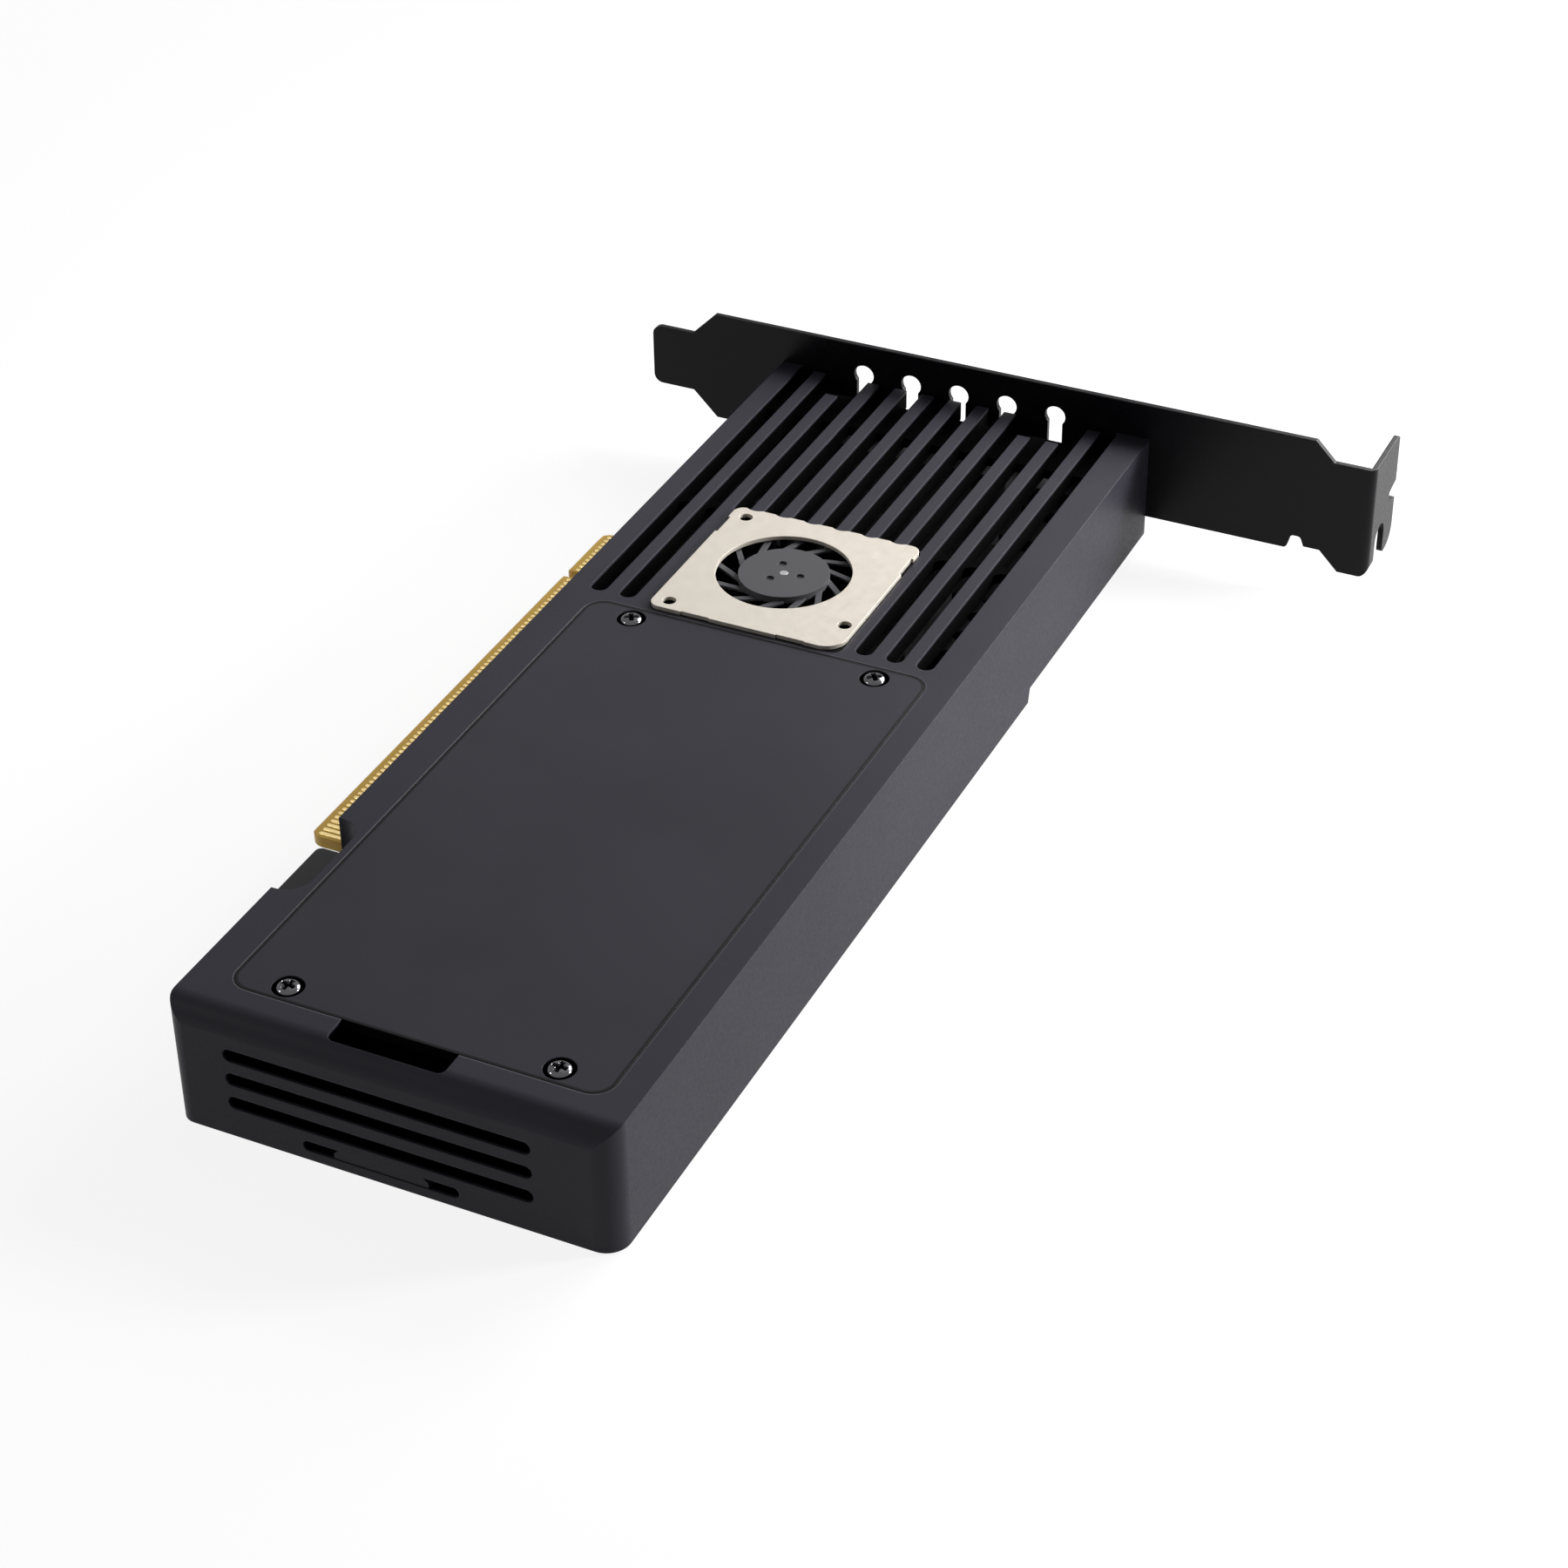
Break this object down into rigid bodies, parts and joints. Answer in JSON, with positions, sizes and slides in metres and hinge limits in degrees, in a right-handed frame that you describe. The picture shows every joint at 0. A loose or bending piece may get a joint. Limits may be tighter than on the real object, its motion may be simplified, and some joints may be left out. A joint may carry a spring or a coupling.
{
  "type": "expansion card with drive sockets",
  "caption": "Slotted plastic card case with a small blower, access covers, gold edge connector and a folded slot bracket, for solid-state drives.",
  "frame": {"origin": "centre of the footprint of the whole card, bracket included, at the height of the underside", "axes": "+X from the slot bracket to the free end, +Y from the edge connector to the bracket's screw tab, +Z from the underside to the fan side"},
  "size_m": [0.1892, 0.12, 0.0245],
  "materials": {
    "case_plastic": "fine matt texture, charcoal",
    "lid_plastic": "fine matt texture, charcoal",
    "base_plastic": "fine matt texture, charcoal",
    "bracket_steel": "black powder coat",
    "screw_black": "black oxide",
    "screw_bright": "plated steel",
    "board": "solder mask over laminate",
    "contact_gold": "plated gold",
    "fan_plate_metal": "satin, warm light grey",
    "fan_black": "moulded black",
    "rotor_black": "moulded black, satin",
    "steel": "ground",
    "copper_wound": "enamelled winding",
    "magnet": "ferrite",
    "sink_metal": "extruded, satin",
    "chip": "moulded",
    "heat_pad": "soft, matt",
    "socket_plastic": "moulded",
    "ferrite": "pressed ferrite",
    "can_metal": "satin",
    "header_white": "moulded"
  },
  "bodies": {
    "card": {"housing": "case_plastic", "base_shell": "base_plastic", "top_cover": "lid_plastic", "bottom_cover": "lid_plastic", "circuit_board": "board", "contacts_upper": "contact_gold", "contacts_lower": "contact_gold", "slot_bracket": "bracket_steel", "fan_cover_plate": "fan_plate_metal", "fan_frame": "fan_black", "fan_bearing": "steel", "fan_stator": "copper_wound", "heat_sink": "sink_metal", "switch_chip": "chip", "chip_heat_pad": "heat_pad", "drive_sockets_upper": "socket_plastic", "drive_sockets_lower": "socket_plastic", "standoffs_upper": "steel", "standoffs_lower": "steel", "drive_screws_upper": "screw_bright", "drive_screws_lower": "screw_bright", "drive_heat_pads_upper": "heat_pad", "drive_heat_pads_lower": "heat_pad", "power_inductors": "ferrite", "power_regulators": "chip", "capacitors": "can_metal", "fan_header": "header_white", "oscillator": "can_metal", "firmware_memory": "chip", "top_cover_screws": "screw_black", "bottom_cover_screws": "screw_black", "case_screws": "screw_black", "heat_sink_screws": "screw_bright", "bracket_screws": "screw_bright"},
    "impeller": {"fan_impeller": "rotor_black", "fan_magnet": "magnet", "fan_shaft": "steel"}
  },
  "joints": [
    {"name": "impeller_spin", "type": "hinge", "parent": "card", "child": "impeller", "pos_m": [-0.02421, -0.00951, 0.016], "axis": [0, 0, 1], "continuous": true}
  ]
}
